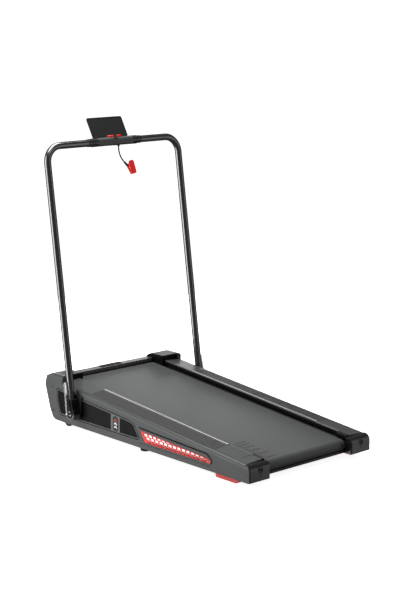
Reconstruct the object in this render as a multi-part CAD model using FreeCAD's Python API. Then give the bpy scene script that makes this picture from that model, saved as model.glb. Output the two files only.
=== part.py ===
# Folding walking treadmill: motorised deck, belt and rollers in a low base, with a folding U-shaped
# handrail that carries a small console, a phone holder and a safety lanyard.
# Frame: origin on the floor under the middle of the base. +X is the walker's right, +Y is forward
# (the motor end, where the handrail stands), +Z is up. Millimetres.
import FreeCAD
import Part
import math
import os

V = FreeCAD.Vector

# ---- driving dimensions -------------------------------------------------------------------------
HALF_LENGTH = 533.5          # half of the base's length along Y
HALF_WIDTH = 280.0           # outer face of the side covers
FLOOR_GAP = 23.0             # height of the base's underside
WALL = 3.0                   # moulded plastic wall
PAN_TOP = FLOOR_GAP + 2.5    # upper face of the floor pan

DECK_TILT = 5.3              # degrees, front end high
RAIL_TOP = 127.4             # height of the foot rail's outer edge at Y = 0
SEAM_X = 269.0               # inner edge of the side covers' tops, beside the foot rails
SEAM_GAP = 1.8               # shadow gap between side cover and foot rail, and at the cover's joint
RAIL_INNER_X = 199.0         # inner edge of the foot rails
CAP_INNER_X = 188.0          # inner face of the end caps and raised corner blocks
RAIL_CROWN = 5.0             # how much higher the foot rail's inner edge is
RAIL_REAR, TREAD_REAR, TREAD_FRONT, RAIL_FRONT = -507.0, -356.0, 284.32, 430.5
TREAD_PITCH = 11.04          # spacing of the anti-slip teeth
BLOCK_TOP = 190.0            # top of the raised front corner blocks

BELT_HALF_WIDTH = 186.0
BELT_THICK = 1.8
BELT_DROP = 13.0             # belt surface below the foot rail's outer edge
LOOP_R = 19.0                # outer radius of the belt where it wraps a roller
ROLLER_R = LOOP_R - BELT_THICK - 0.3
REAR_ROLLER_S, FRONT_ROLLER_S = -492.0, 480.0   # roller axes along the tilted deck
AXLE_R = 6.0
RUN_FIT = 0.05               # radial clearance of turning fits

FRAME_IN, FRAME_OUT = 222.0, 244.0   # frame rail tube, inner and outer X
MOTOR_Y, MOTOR_Z, MOTOR_R = 405.0, 64.0, 34.0
DRIVE_X0, DRIVE_X1 = 192.5, 204.5    # drive belt plane
ROLLER_PULLEY_R, MOTOR_PULLEY_R = 24.0, 11.0

TUBE_R = 12.7                # handrail tube
TUBE_WALL = 1.5
LEG_X = 300.2                # handrail leg axis
LEAN = 8.0                   # degrees, handrail leans forward
LEG_FOOT_Y = 332.1           # where the leg's axis would meet the floor
CROSSBAR_S = 1015.7          # crossbar axis, measured up the leaning leg
BEND_R = 58.0
PIVOT_S = 78.8               # fold pivot, measured up the leaning leg
BOSS_R = 24.0

PLATE_W, PLATE_H, PLATE_LEAN = 160.0, 76.0, 30.0   # phone holder
WHEEL_R = 17.0
CORD_R = 2.5

SIN_D = math.sin(math.radians(DECK_TILT))
COS_D = math.cos(math.radians(DECK_TILT))
SIN_L = math.sin(math.radians(LEAN))
COS_L = math.cos(math.radians(LEAN))
PIVOT_Y = LEG_FOOT_Y + PIVOT_S * SIN_L
PIVOT_Z = PIVOT_S * COS_L
BAR_Y = LEG_FOOT_Y + CROSSBAR_S * SIN_L
BAR_Z = CROSSBAR_S * COS_L

PARTS = {}


# ---- small helpers ------------------------------------------------------------------------------
def block(x0, x1, y0, y1, z0, z1):
    """Box between two opposite corners."""
    return Part.makeBox(x1 - x0, y1 - y0, z1 - z0, V(x0, y0, z0))


def rod_x(radius, x0, x1, y, z):
    """Cylinder along X."""
    return Part.makeCylinder(radius, x1 - x0, V(x0, y, z), V(1, 0, 0))


def rod(radius, start, direction, length):
    """Cylinder from a point along a direction."""
    return Part.makeCylinder(radius, length, start, direction)


def rounded_wire(points, radii, place):
    """Closed wire through corners (a, b), each rounded by its radius; place maps (a, b) to 3-D."""
    count = len(points)
    corners = []
    for i, point in enumerate(points):
        here = V(point[0], point[1], 0)
        back = V(points[i - 1][0], points[i - 1][1], 0) - here
        ahead = V(points[(i + 1) % count][0], points[(i + 1) % count][1], 0) - here
        radius = radii[i] if isinstance(radii, (list, tuple)) else radii
        back.normalize()
        ahead.normalize()
        half = back.getAngle(ahead) / 2
        if radius <= 0 or half > math.radians(89):
            corners.append((here, here, here))
            continue
        reach = radius / math.tan(half)
        bisector = back + ahead
        bisector.normalize()
        centre = here + bisector * (radius / math.sin(half))
        corners.append((here + back * reach, centre - bisector * radius, here + ahead * reach))
    edges = []
    for i in range(count):
        start, middle, end = (place(p.x, p.y) for p in corners[i])
        if start.distanceToPoint(end) > 1e-6:
            edges.append(Part.Arc(start, middle, end).toShape())
        following = corners[(i + 1) % count][0]
        following = place(following.x, following.y)
        if end.distanceToPoint(following) > 1e-6:
            edges.append(Part.LineSegment(end, following).toShape())
    return Part.Wire(edges)


def side_face(points, radii=0, x=0.0, shrink=0.0):
    """Flat face in a plane of constant X, its outline given as (Y, Z) corners."""
    face = Part.Face(rounded_wire(points, radii, lambda a, b: V(x, a, b)))
    if shrink:
        face = face.makeOffset2D(-shrink)
    return face


def side_prism(points, x0, x1, radii=0, shrink=0.0):
    """(Y, Z) outline drawn out along X."""
    return side_face(points, radii, x0, shrink).extrude(V(x1 - x0, 0, 0))


def plan_prism(points, z0, z1, radii=0):
    """(X, Y) outline drawn out along Z."""
    face = Part.Face(rounded_wire(points, radii, lambda a, b: V(a, b, z0)))
    return face.extrude(V(0, 0, z1 - z0))


def cross_prism(points, y0, y1, radii=0):
    """(X, Z) outline drawn out along Y."""
    face = Part.Face(rounded_wire(points, radii, lambda a, b: V(a, y0, b)))
    return face.extrude(V(0, y1 - y0, 0))


def on_deck(shape):
    """Lay a shape made in deck coordinates (X, along, above rail edge) onto the tilted deck."""
    laid = shape.copy()
    laid.rotate(V(0, 0, 0), V(1, 0, 0), DECK_TILT)
    laid.translate(V(0, 0, RAIL_TOP))
    return laid


def deck_point(along, above):
    """(Y, Z) of a point given along the deck and above the rail edge."""
    return along * COS_D - above * SIN_D, RAIL_TOP + along * SIN_D + above * COS_D


def rail_height(y):
    """Height of the foot rail's outer edge at a given Y."""
    return RAIL_TOP + y * SIN_D / COS_D


def lean_point(x, s):
    """Point on the handrail's leaning plane, s measured up the leg from the floor."""
    return V(x, LEG_FOOT_Y + s * SIN_L, s * COS_L)


def mirrored(shape):
    """The same shape on the walker's right."""
    return shape.mirror(V(0, 0, 0), V(1, 0, 0))


def both(shape):
    """A left-hand shape together with its mirror image."""
    return Part.makeCompound([shape, mirrored(shape)])


def pair(name, shape):
    """Store a left-hand part and its right-hand twin as two nodes."""
    PARTS[name + "_left"] = shape
    PARTS[name + "_right"] = mirrored(shape)


# ---- outlines of the base, as (Y, Z) ------------------------------------------------------------
NOSE = [(500.5, BLOCK_TOP), (524.5, 178.0), (HALF_LENGTH + 0.5, 147.0), (527.0, 122.0), (508.0, 62.0),
        (490.5, 29.0), (473.0, FLOOR_GAP)]
NOSE_RADII = [9, 14, 14, 25, 25, 14, 5]
SPLIT_LOW, SPLIT_HIGH = 294.5, 330.0     # joint between side cover and front cap, at floor and rail
PAN_FRONT_X = 276.5                      # half width of the floor pan between the front caps
SCREWS = [(489, 142), (487, 57), (-516, 50)]     # screws of the side faces
SCREW_HEAD_R = 3.4

COVER_OUTLINE = [(SPLIT_LOW, FLOOR_GAP), (308.0, 44.0), (SPLIT_HIGH, rail_height(SPLIT_HIGH)),
                 (-532.0, rail_height(-532.0)), (-532.0, FLOOR_GAP)]
WINDOW = [(466.0, 143.0), (464.5, 97.0), (448.5, 46.0), (16.0, 47.0), (3.0, 57.0), (29.0, 98.5),
          (52.5, 107.5)]
WINDOW_RADII = [7, 20, 6, 8, 6, 12, 25]
MESH_TRAY = [(14.0, 97.0), (-19.0, 40.0), (-353.0, 42.0), (-369.0, 58.0), (-339.0, 83.0)]
MESH_TRAY_RADII = [3, 3, 9, 9, 9]
MESH_GROOVE = [(8.0, 95.0), (5.5, 90.4), (-335.0, 75.6), (-359.5, 57.5), (-352.5, 49.0),
               (-354.0, 45.5), (-366.0, 58.0), (-338.0, 80.0)]
MESH_GROOVE_RADII = [0.5, 0.5, 9, 5, 0.5, 1, 8, 11]
MESH_PLATE = [(3.0, 83.0), (-22.0, 46.0), (-348.0, 47.0), (-352.0, 54.0), (-338.0, 63.0)]
MESH_PLATE_RADII = [2, 2, 4, 4, 8]
BADGE_Y0, BADGE_Y1 = 109.0, 157.0        # grey field around the badge, between the dark windows


# ---- frame, deck and drive ----------------------------------------------------------------------
def frame_rail():
    """Steel side tube along the deck, with posts down to the floor pan."""
    outer = block(-FRAME_OUT, -FRAME_IN, -484, 492, -60, -20)
    inner = block(-FRAME_OUT + 2, -FRAME_IN - 2, -484, 492, -58, -22)
    rail = on_deck(outer.cut(inner))
    for y, width in ((-400, 40), (26, 44), (PIVOT_Y, 50)):
        top = deck_point(y, -60)[1]
        post = block(-FRAME_OUT, -FRAME_IN, y - width / 2, y + width / 2, PAN_TOP, top + 1)
        rail = rail.fuse(post)
    rail = rail.cut(block(-FRAME_OUT - 1, -FRAME_IN + 1, -HALF_LENGTH, -400, 0, PAN_TOP))
    for along in (REAR_ROLLER_S, FRONT_ROLLER_S):
        y, z = deck_point(along, -BELT_DROP - LOOP_R)
        rail = rail.cut(rod_x(AXLE_R, -260, -200, y, z))
    return rail.cut(rod_x(7.5, -260, -200, PIVOT_Y, PIVOT_Z)).removeSplitter()


def cross_members():
    """Three steel tubes that join the side rails inside the belt loop."""
    bars = []
    for along in (-400, 26, 400):
        bar = block(-FRAME_IN, FRAME_IN, along - 15, along + 15, -46, -31.2)
        bars.append(on_deck(bar.cut(block(-FRAME_IN, FRAME_IN, along - 13, along + 13, -44, -33.2))))
    return Part.makeCompound(bars)


def deck_board():
    """Walking board under the upper run of the belt, its ends eased."""
    y0, y1 = REAR_ROLLER_S + 26, FRONT_ROLLER_S - 26
    top = -BELT_DROP - BELT_THICK - 0.4
    board = block(-214, 214, y0, y1, top - 10, top)
    ends = [e for e in board.Edges if abs(e.CenterOfMass.z - top) < 0.1 and e.Length > 300
            and abs(e.Vertexes[0].Point.x - e.Vertexes[1].Point.x) > 300]
    board = board.makeChamfer(4, ends)
    notch = block(DRIVE_X0 - 2.0, DRIVE_X1 + 2.0, y1 - 75, y1 + 1, top - 11, top + 1)
    return on_deck(board.cut(notch))


def deck_cushions():
    """Rubber pads between the board and the cross members."""
    pads = []
    for along in (-400, 26, 400):
        for x in (-150, 0, 150):
            pad = Part.makeCylinder(13, 6, V(x, along, -31.2))
            pads.append(on_deck(pad))
    return Part.makeCompound(pads)


def stadium(along0, along1, radius, half_width):
    """Rounded slab that spans two rollers, in deck coordinates."""
    mid = -BELT_DROP - LOOP_R
    slab = block(-half_width, half_width, along0, along1, mid - radius, mid + radius)
    for along in (along0, along1):
        slab = slab.fuse(rod_x(radius, -half_width, half_width, along, mid))
    return slab


def running_belt():
    """Endless walking belt, taut around both rollers."""
    outer = stadium(REAR_ROLLER_S, FRONT_ROLLER_S, LOOP_R, BELT_HALF_WIDTH)
    inner = stadium(REAR_ROLLER_S, FRONT_ROLLER_S, LOOP_R - BELT_THICK, BELT_HALF_WIDTH + 1)
    return on_deck(outer.cut(inner).removeSplitter())


def roller(along, pulley):
    """Steel roller tube with thick ends that hold its bearings."""
    y, z = deck_point(along, -BELT_DROP - LOOP_R)
    body = rod_x(ROLLER_R, -188, 188, y, z).cut(rod_x(ROLLER_R - 2.5, -178, 178, y, z))
    bore = rod_x(13, -189, -177, y, z)
    body = body.cut(bore).cut(mirrored(bore)).cut(rod_x(AXLE_R + 2, -189, 189, y, z))
    bearing = rod_x(13, -187.5, -177.5, y, z).cut(rod_x(AXLE_R + RUN_FIT, -189, -176, y, z))
    if pulley:
        hub = rod_x(14.5, 187, DRIVE_X0, y, z).cut(rod_x(13, 180, 200, y, z))
        body = body.fuse(grooved_pulley(y, z, ROLLER_PULLEY_R, AXLE_R + 2)).fuse(hub)
    return body.removeSplitter(), both(bearing)


def grooved_pulley(y, z, radius, bore):
    """Ribbed pulley in the drive belt's plane, with five V grooves between two flanges."""
    pulley = rod_x(radius, DRIVE_X0, DRIVE_X1, y, z)
    for i in range(5):
        x = DRIVE_X0 + 2.4 + i * 1.8
        groove = Part.makeCone(radius - 1.0, radius + 0.2, 0.6, V(x, y, z), V(1, 0, 0))
        ring = rod_x(radius + 1, x, x + 0.6, y, z).cut(groove)
        pulley = pulley.cut(ring.cut(rod_x(radius - 1.0, x - 1, x + 2, y, z)))
    for x in (DRIVE_X0 - 1.2, DRIVE_X1):
        pulley = pulley.fuse(rod_x(radius + 2, x, x + 1.2, y, z))
    return pulley.cut(rod_x(bore, DRIVE_X0 - 5, DRIVE_X1 + 5, y, z))


def roller_axles():
    """Fixed axles through both rollers, clamped in the side rails."""
    axles = []
    for along in (REAR_ROLLER_S, FRONT_ROLLER_S):
        y, z = deck_point(along, -BELT_DROP - LOOP_R)
        axles.append(rod_x(AXLE_R, -FRAME_OUT - 2, FRAME_OUT + 2, y, z))
    return Part.makeCompound(axles)


def motor():
    """Direct-current motor under the lower run of the belt, with its two end bells."""
    can = rod_x(MOTOR_R, 30, 150, MOTOR_Y, MOTOR_Z)
    for x0, x1 in ((18, 30), (150, 162)):
        can = can.fuse(rod_x(MOTOR_R - 3, x0, x1, MOTOR_Y, MOTOR_Z))
    return can.cut(rod_x(5 + RUN_FIT, 17, 163, MOTOR_Y, MOTOR_Z))


def motor_shaft():
    """Motor shaft with its flywheel and a ribbed pulley."""
    shaft = rod_x(5, 19, DRIVE_X1 + 3, MOTOR_Y, MOTOR_Z)
    flywheel = rod_x(30, 166, 184, MOTOR_Y, MOTOR_Z)
    pulley = grooved_pulley(MOTOR_Y, MOTOR_Z, MOTOR_PULLEY_R, 4)
    return shaft.fuse(flywheel).fuse(pulley).removeSplitter()


def belt_face(radius_a, centre_a, radius_b, centre_b, x):
    """Face of an open belt path around two pulleys in a plane of constant X."""
    dy, dz = centre_b[0] - centre_a[0], centre_b[1] - centre_a[1]
    distance = math.hypot(dy, dz)
    heading = math.atan2(dz, dy)
    wrap = math.acos((radius_a - radius_b) / distance)

    def at(centre, radius, angle):
        return V(x, centre[0] + radius * math.cos(angle), centre[1] + radius * math.sin(angle))

    up, down = heading + wrap, heading - wrap
    edges = [Part.Arc(at(centre_a, radius_a, up), at(centre_a, radius_a, heading + math.pi),
                      at(centre_a, radius_a, down)).toShape(),
             Part.LineSegment(at(centre_a, radius_a, down), at(centre_b, radius_b, down)).toShape(),
             Part.Arc(at(centre_b, radius_b, down), at(centre_b, radius_b, heading),
                      at(centre_b, radius_b, up)).toShape(),
             Part.LineSegment(at(centre_b, radius_b, up), at(centre_a, radius_a, up)).toShape()]
    return Part.Face(Part.Wire(edges))


def drive_belt():
    """Ribbed belt from the motor pulley to the front roller's pulley."""
    top = deck_point(FRONT_ROLLER_S, -BELT_DROP - LOOP_R)
    low = (MOTOR_Y, MOTOR_Z)
    outer = belt_face(MOTOR_PULLEY_R + 1.9, low, ROLLER_PULLEY_R + 1.9, top, DRIVE_X0 + 0.5)
    inner = belt_face(MOTOR_PULLEY_R + 0.3, low, ROLLER_PULLEY_R + 0.3, top, DRIVE_X0 + 0.5)
    return outer.cut(inner).extrude(V(DRIVE_X1 - DRIVE_X0 - 1, 0, 0))


def motor_mount():
    """Saddle that holds the motor on the floor pan."""
    saddle = block(50, 130, MOTOR_Y - 40, MOTOR_Y + 40, PAN_TOP, MOTOR_Z)
    return saddle.cut(rod_x(MOTOR_R, 40, 140, MOTOR_Y, MOTOR_Z))


def motor_controller():
    """Motor control box with a finned lid."""
    box = block(-150, -20, 350, 450, PAN_TOP, 70)
    for i in range(9):
        box = box.fuse(block(-146, -24, 356 + i * 10.5, 360 + i * 10.5, 69, 84))
    return box.removeSplitter()


def belly_pan():
    """Floor pan that closes the base from below, with a turned-up rear lip and wheel wells."""
    z0, z1 = FLOOR_GAP, PAN_TOP
    pan = block(-SEAM_X + 0.2, SEAM_X - 0.2, -474, 469, z0, z1)
    pan = pan.fuse(block(-PAN_FRONT_X, PAN_FRONT_X, SPLIT_LOW + 1.5, 469, z0, z1))
    pan = pan.fuse(block(-187, 187, -499, -474, z0, z1)).fuse(block(-187, 187, -499, -496.5, z0, 31.5))
    well = block(-259, -231, 418, 462, z0 - 1, z1 + 1)
    for i in range(7):
        slot = plan_prism([(40, 300 + i * 9), (130, 300 + i * 9), (130, 303 + i * 9),
                           (40, 303 + i * 9)], z0 - 1, z1 + 1, 1.4)
        pan = pan.cut(slot)
    return pan.cut(well).cut(mirrored(well)).removeSplitter()


# ---- covers -------------------------------------------------------------------------------------
def shoulder_bar(y0, y1, inset=0.0):
    """Bar whose outer top edge is rounded from the seam down to the side face."""
    radius = HALF_WIDTH - SEAM_X
    low, high = -190.0, -inset
    x_out = -HALF_WIDTH + inset
    outline = [(x_out, high), (-150.0, high), (-150.0, low), (x_out, low)]
    return on_deck(cross_prism(outline, y0, y1, [radius - inset, 0, 0, 0]))


def shell_side(outline, radii, x0, x1):
    """Side wall with its rounded shoulder, open towards the inside and below."""
    outer = side_prism(outline, x0, x1, radii).common(shoulder_bar(-620, 620))
    inner = side_prism(outline, x0 + WALL, x1 + 1, radii, WALL).common(shoulder_bar(-620, 620, WALL))
    return outer.cut(inner)


def opening(outline, radii, grow=0.0):
    """Cutter for a window in the left side wall."""
    return side_prism(outline, -HALF_WIDTH - 5, -SEAM_X + 8, radii, -grow)


def side_cover():
    """Left side moulding with the window, the grille's opening and the dark groove over it."""
    shell = shell_side(COVER_OUTLINE, [0, 0, 0, 22, 4], -HALF_WIDTH, -SEAM_X)
    shell = shell.cut(opening(WINDOW, WINDOW_RADII))
    shell = shell.cut(opening(MESH_PLATE, MESH_PLATE_RADII, 0.4))
    shell = shell.cut(opening(MESH_GROOVE, MESH_GROOVE_RADII))
    groove = side_prism([(6, 39.4), (6, 42.0), (-353, 40.6), (-353, 38.0)],
                        -HALF_WIDTH - 1, -HALF_WIDTH + 1.8)
    joint = side_prism([(SPLIT_LOW + 1, FLOOR_GAP - 1), (309, 44), (309 - 1.4 * SEAM_GAP, 44),
                        (SPLIT_LOW - 1.4 * SEAM_GAP, FLOOR_GAP - 1)], -HALF_WIDTH - 1, -HALF_WIDTH + 2)
    cap_room = block(-HALF_WIDTH + WALL, -SEAM_X + 1, -HALF_LENGTH, -477.5, 0, 66.6)
    cap_room = cap_room.fuse(block(-HALF_WIDTH + WALL, -SEAM_X + 1, -HALF_LENGTH, -508.9, 0, RAIL_TOP))
    return shell.cut(groove).cut(joint).cut(cap_room).cut(screw_pockets())


def screw_pockets():
    """Cutters for the heads of the screws in the left side face."""
    depth = HALF_WIDTH - 1.25
    return Part.makeCompound([rod_x(SCREW_HEAD_R + 0.1, -HALF_WIDTH - 2, -depth, y, z) for y, z in SCREWS])


def front_cap():
    """Left front moulding: side wall, nose and the raised corner block."""
    wall_outline = [(445.0, FLOOR_GAP), (445.0, rail_height(445.0)), (SPLIT_HIGH + 0.6,
                    rail_height(SPLIT_HIGH + 0.6)), (308.6, 44.0), (SPLIT_LOW + 0.6, FLOOR_GAP)]
    nose_outline = [(RAIL_FRONT, FLOOR_GAP), (RAIL_FRONT, BLOCK_TOP)] + NOSE
    nose_radii = [0, 5] + NOSE_RADII
    x0, x1 = -HALF_WIDTH, -CAP_INNER_X
    wall = side_prism(wall_outline, x0, -SEAM_X).common(shoulder_bar(200, 620))
    rounding = cross_prism([(x0, BLOCK_TOP), (x1, BLOCK_TOP), (x1, 0), (x0, 0)], 400, 600, [11, 6, 0, 0])
    nose = side_prism(nose_outline, x0, x1, nose_radii).common(rounding)
    hollow_round = cross_prism([(x0 + WALL, BLOCK_TOP - WALL), (x1 - WALL, BLOCK_TOP - WALL),
                                (x1 - WALL, 0), (x0 + WALL, 0)], 400, 600, [8, 3, 0, 0])
    hollow = side_prism(nose_outline, x0 + 1, x1 - 1, nose_radii, WALL).common(hollow_round)
    wall_hollow = side_prism([(444.0, 0), (444.0, 200), (200, 200), (200, 0)], x0 + WALL,
                             -SEAM_X + 5).common(shoulder_bar(200, 620, WALL))
    floor_gate = block(x0 + WALL, x1 - WALL, RAIL_FRONT + WALL, 470, 0, FLOOR_GAP + 8)
    cap = wall.fuse(nose).cut(hollow.fuse(wall_hollow)).cut(floor_gate)
    cap = cap.cut(opening(WINDOW, WINDOW_RADII))
    rail_gate = on_deck(block(-FRAME_OUT - 3, x1 + 4, 380, 500, -63, -14.5))
    pan_gate = block(-PAN_FRONT_X - 0.1, x1 + 1, SPLIT_LOW, 469.5, 0, PAN_TOP + 0.1)
    wheel_gate = block(-260, -230, 418, 462, 0, 42)
    drive_gate = block(-DRIVE_X1 - 2, x1 - WALL - 0.5, 425, 436, 0, 120)
    cap = cap.cut(rail_gate).cut(pan_gate).cut(wheel_gate).cut(drive_gate)
    return cap.cut(screw_pockets()).removeSplitter()


def front_hood():
    """Nose cover between the corner blocks: bright top strip, front face and lower lip."""
    y_back = 490.0
    outline = [(y_back, rail_height(y_back) + 1), (521.0, rail_height(521.0) + 1),
               (HALF_LENGTH - 1.5, 150.0), (526.0, 122.0), (507.0, 62.0), (489.5, 30.0),
               (473.0, FLOOR_GAP)]
    radii = [0, 9, 12, 25, 25, 14, 4]
    inner = [(y_back - 30, rail_height(y_back) - 2), (519.5, rail_height(519.5) - 2),
             (HALF_LENGTH - 4.5, 149.0), (523.0, 122.5), (504.3, 63.5), (487.6, 32.5),
             (474.0, FLOOR_GAP + 2.6), (440.0, FLOOR_GAP + 2.6)]
    inner_radii = [0, 6, 9, 22, 22, 11, 2, 0]
    shell = side_prism(outline, -187.7, 187.7, radii)
    shell = shell.cut(side_prism(inner, -190, 190, inner_radii))
    lip = block(-187.7, 187.7, y_back, y_back + 2.5, rail_height(y_back) - 11, rail_height(y_back))
    shell = shell.fuse(lip)
    pocket = on_deck(block(-50.4, 50.4, 498, 520.4, -1.2, 20))
    socket = inlet_placed(block(-34.4, 34.4, -30, 30, -13.4, 13.4))
    return shell.cut(pocket).cut(socket).removeSplitter()


def inlet_placed(shape):
    """Put a shape made on the XZ plane (Y outwards) onto the nose's lower face, on the right."""
    placed = shape.copy()
    placed.rotate(V(0, 0, 0), V(1, 0, 0), -17.5)
    placed.translate(V(110, 516.8, 92))
    return placed


def display_lens():
    """Dark window of the speed display, let into the top strip."""
    lens = on_deck(block(-50, 50, 498.4, 520, -1.2, 1.6))
    edges = [e for e in lens.Edges if e.Length < 4]
    return lens.makeFillet(1.0, edges)


def foot_rail():
    """Left foot rail: crowned top, turned-down inner edge and a sunk bed for the tread."""
    inner, outer = -RAIL_INNER_X, -SEAM_X + SEAM_GAP
    crown = RAIL_CROWN

    def section(x_in, y0, y1):
        outline = [(outer, 0.1), (x_in - 4, crown), (x_in, crown - 3), (x_in, -9.5), (x_in - 3, -9.5),
                   (x_in - 3, crown - 5), (x_in - 6, crown - 4), (outer, -WALL)]
        return cross_prism(outline, y0, y1, [0, 3, 2, 0, 0, 0, 0, 0])

    wide_from = -464.0
    rail = section(inner, wide_from, RAIL_FRONT + 2)
    rear = section(inner + 10, -509.5, wide_from)
    bed = cross_prism([(-SEAM_X + 3, 0.17 - 1.3), (inner - 2, crown - 1.3), (inner - 2, 12),
                       (-SEAM_X + 3, 12)], TREAD_REAR, TREAD_FRONT)
    rail = on_deck(rail.fuse(rear).cut(bed))
    past_front = block(outer - 1, inner + 12, RAIL_FRONT - 0.2, RAIL_FRONT + 20, 0, 300)
    return rail.cut(past_front).removeSplitter()


def tread_insert():
    """Rubber anti-slip strip: crosswise teeth and long grooves on a thin base."""
    outer, inner = -SEAM_X + 3.3, -RAIL_INNER_X - 2.3
    slope = RAIL_CROWN / (SEAM_X - RAIL_INNER_X - 4)

    def strip(x0, x1, y0, y1, low, high):
        base0, base1 = slope * (x0 + SEAM_X), slope * (x1 + SEAM_X)
        return cross_prism([(x0, base0 + low), (x1, base1 + low), (x1, base1 + high),
                            (x0, base0 + high)], y0, y1)

    solids = strip(outer, inner, TREAD_REAR + 0.3, TREAD_FRONT - 0.3, -1.2, 0.0)
    teeth = [strip(inner - 9, inner, TREAD_REAR + 2.5 + i * TREAD_PITCH,
                   TREAD_REAR + 8.0 + i * TREAD_PITCH, -0.3, 1.2) for i in range(58)]
    ribs = [strip(outer + 2 + i * 6.2, outer + 5 + i * 6.2, TREAD_REAR + 2.5, TREAD_FRONT - 2.5,
                  -0.3, 0.9) for i in range(8)]
    return on_deck(solids.multiFuse(teeth + ribs).removeSplitter())


def rear_cap():
    """Left rear end cap: closed box end with a rounded top and a recess for the tension bolt."""
    def outline(shift):
        return [(-507.0 - shift, rail_height(-507.0)), (-HALF_LENGTH, rail_height(-HALF_LENGTH)),
                (-HALF_LENGTH, FLOOR_GAP), (-478.0, FLOOR_GAP), (-478.0, 62.0), (-507.0 - shift, 66.0)]

    x0, x1 = -HALF_WIDTH + 3.3, -CAP_INNER_X
    radii = [0, 20, 3, 0, 3, 0]
    body = side_prism(outline(2.3), x0, x1, radii)
    plan = plan_prism([(x0, -HALF_LENGTH), (x1, -HALF_LENGTH), (x1, -470), (x0, -470)], 0, 120,
                      [1.5, 5, 0, 0])
    body = body.common(plan)
    hollow = side_prism([(-400, 63), (-511.5, 68), (-529.5, 62), (-529.5, 27), (-400, 27)],
                        x0 + WALL, x1 - WALL, [0, 5, 10, 3, 0])
    body = body.cut(hollow)
    bolt_y, bolt_z = -HALF_LENGTH, 60.0
    recess = rod(11.5, V(-233, bolt_y - 1, bolt_z), V(0, 1, 0), 3.2)
    bore = rod(9.2, V(-233, bolt_y - 1, bolt_z), V(0, 1, 0), 30)
    small = rod(3.2, V(-233, bolt_y - 1, 42.5), V(0, 1, 0), 3.7)
    axle_y, axle_z = deck_point(REAR_ROLLER_S, -BELT_DROP - LOOP_R)
    axle_gate = rod_x(AXLE_R + 0.6, -FRAME_OUT - 4, x1 + 1, axle_y, axle_z)
    rail_gate = on_deck(block(-FRAME_OUT - 1, -FRAME_IN + 1, -486, -400, -62, -18))
    body = body.cut(recess).cut(bore).cut(small)
    return body.cut(rail_gate).cut(axle_gate).removeSplitter()


def tension_bolts():
    """Belt tension bolts with hexagon sockets, one in each rear cap, and the screw under each."""
    z = 60.0
    head = rod(8.2, V(-233, -531.5, z), V(0, 1, 0), 8)
    socket = Part.Face(Part.makePolygon([V(-233 + 4.6 * math.cos(a), -532, z + 4.6 * math.sin(a))
                                         for a in [math.radians(60 * k) for k in range(7)]]))
    shank = rod(4, V(-233, -524, z), V(0, 1, 0), 24)
    bolt = head.fuse(shank).cut(socket.extrude(V(0, 5.5, 0))).removeSplitter()
    screw = rod(2.9, V(-233, -532.4, 42.5), V(0, 1, 0), 1.4)
    return Part.makeCompound([bolt, mirrored(bolt), screw, mirrored(screw)])


# ---- side windows -------------------------------------------------------------------------------
def window_panel():
    """Left dark window: backing plate with two raised fields."""
    hole = rod_x(12.6, -290, -260, PIVOT_Y, PIVOT_Z)
    back = side_prism(WINDOW, -HALF_WIDTH + 3.2, -HALF_WIDTH + 5.2, WINDOW_RADII, 0.3)
    field = side_prism(WINDOW, -HALF_WIDTH + 0.8, -HALF_WIDTH + 3.2, WINDOW_RADII, 8.2)
    gap = block(-290, -260, BADGE_Y0 - 1.2, BADGE_Y1 + 1.2, 0, 200)
    return back.fuse(field.cut(gap)).cut(hole).removeSplitter()


def window_bezel():
    """Left grey frame: a thin raised lip round the window and the field that holds the badge."""
    x0, x1 = -HALF_WIDTH - 0.5, -HALF_WIDTH + 3.1
    outer = side_prism(WINDOW, x0, x1, WINDOW_RADII, 3.6)
    inner = side_prism(WINDOW, x0 - 1, x1 + 1, WINDOW_RADII, 6.4)
    ring = outer.cut(inner)
    field = side_prism(WINDOW, x0 + 0.7, x1, WINDOW_RADII, 6.0)
    field = field.common(block(-290, -260, BADGE_Y0, BADGE_Y1, 0, 200))
    badge_gate = side_prism(badge_outline(0.3), x0 - 1, x1 + 1, 12)
    gate = side_prism(bracket_outline(1.0), -290, -270, 10)
    return ring.fuse(field).cut(badge_gate).cut(gate).removeSplitter()


def badge_outline(grow=0.0):
    """Upright slot shape of the badge, as (Y, Z)."""
    return [(117 - grow, 53 - grow), (147 + grow, 53 - grow), (147 + grow, 105 + grow),
            (117 - grow, 105 + grow)]


def side_badge():
    """Left badge: dark plate with three raised plain chevrons."""
    plate = side_prism(badge_outline(), -HALF_WIDTH - 0.2, -HALF_WIDTH + 3.0, 12)
    marks = []
    for i in range(3):
        z = 62 + i * 12
        chevron = [(124, z), (132, z + 5), (140, z), (140, z + 5), (132, z + 10), (124, z + 5)]
        marks.append(side_prism(chevron, -HALF_WIDTH - 0.9, -HALF_WIDTH))
    return plate.multiFuse(marks).removeSplitter()


def mesh_tray():
    """Left dark tray behind the grille and its groove."""
    x0 = -HALF_WIDTH + WALL + 0.2
    floor = side_prism(MESH_TRAY, x0 + 3.5, x0 + 5.5, MESH_TRAY_RADII)
    rim = side_prism(MESH_TRAY, x0, x0 + 5.5, MESH_TRAY_RADII)
    rim = rim.cut(side_prism(MESH_TRAY, x0 - 1, x0 + 6, MESH_TRAY_RADII, 1.5))
    return floor.fuse(rim).removeSplitter()


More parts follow.
